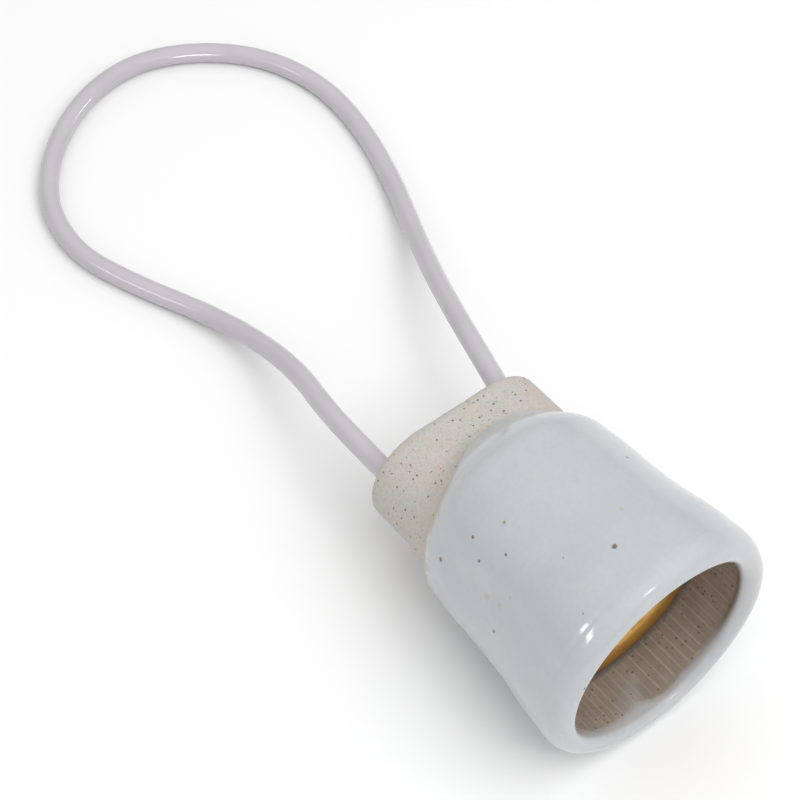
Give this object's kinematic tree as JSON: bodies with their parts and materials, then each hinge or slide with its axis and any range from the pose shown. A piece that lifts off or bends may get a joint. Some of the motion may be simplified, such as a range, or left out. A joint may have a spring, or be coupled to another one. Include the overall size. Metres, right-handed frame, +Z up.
{
  "type": "lamp holder",
  "caption": "Glazed ceramic bell lamp holder with a threaded brass shell, a sprung centre contact, an oval wiring block and one loop of insulated wire.",
  "frame": {"origin": "on the ground, under the middle of the holder's length, with the holder lying on its side", "axes": "+X towards the mouth along the ground, +Y across the wide way of the rear block, +Z up; the holder's own axis tilts up 5.5 degrees from +X in the XZ plane"},
  "size_m": [0.1672, 0.0647, 0.0446],
  "materials": {
    "porcelain": "glossy pale glaze on the bell, unglazed speckled beige block and brown interior",
    "brass": "rolled sheet, lightly tarnished",
    "spring_bronze": "rolled sheet",
    "copper": "plain",
    "wire_insulation": "satin extruded insulation",
    "sealing_compound": "cast, slightly uneven"
  },
  "bodies": {
    "holder": {"porcelain_body": "porcelain", "screw_shell": "brass", "shell_rivet_left": "brass", "shell_rivet_right": "brass", "contact_rivet": "brass", "rivet_washer": "brass", "shell_terminal_tag": "brass", "contact_terminal_tag": "brass", "contact_foot": "spring_bronze", "ferrule_left": "copper", "ferrule_right": "copper", "copper_core_left": "copper", "copper_core_right": "copper", "lead_end_right": "wire_insulation", "lead_end_left": "wire_insulation", "sealing_compound": "sealing_compound", "lead_loop": "wire_insulation"},
    "tongue": {"contact_tongue": "spring_bronze", "contact_pip": "copper"}
  },
  "joints": [
    {"name": "contact_flex", "type": "hinge", "parent": "holder", "child": "tongue", "pos_m": [-0.00929, 0, 0.01699], "axis": [0, -1, 0], "range_deg": [0, 20], "stiffness_Nm_per_rad": 0.1}
  ]
}
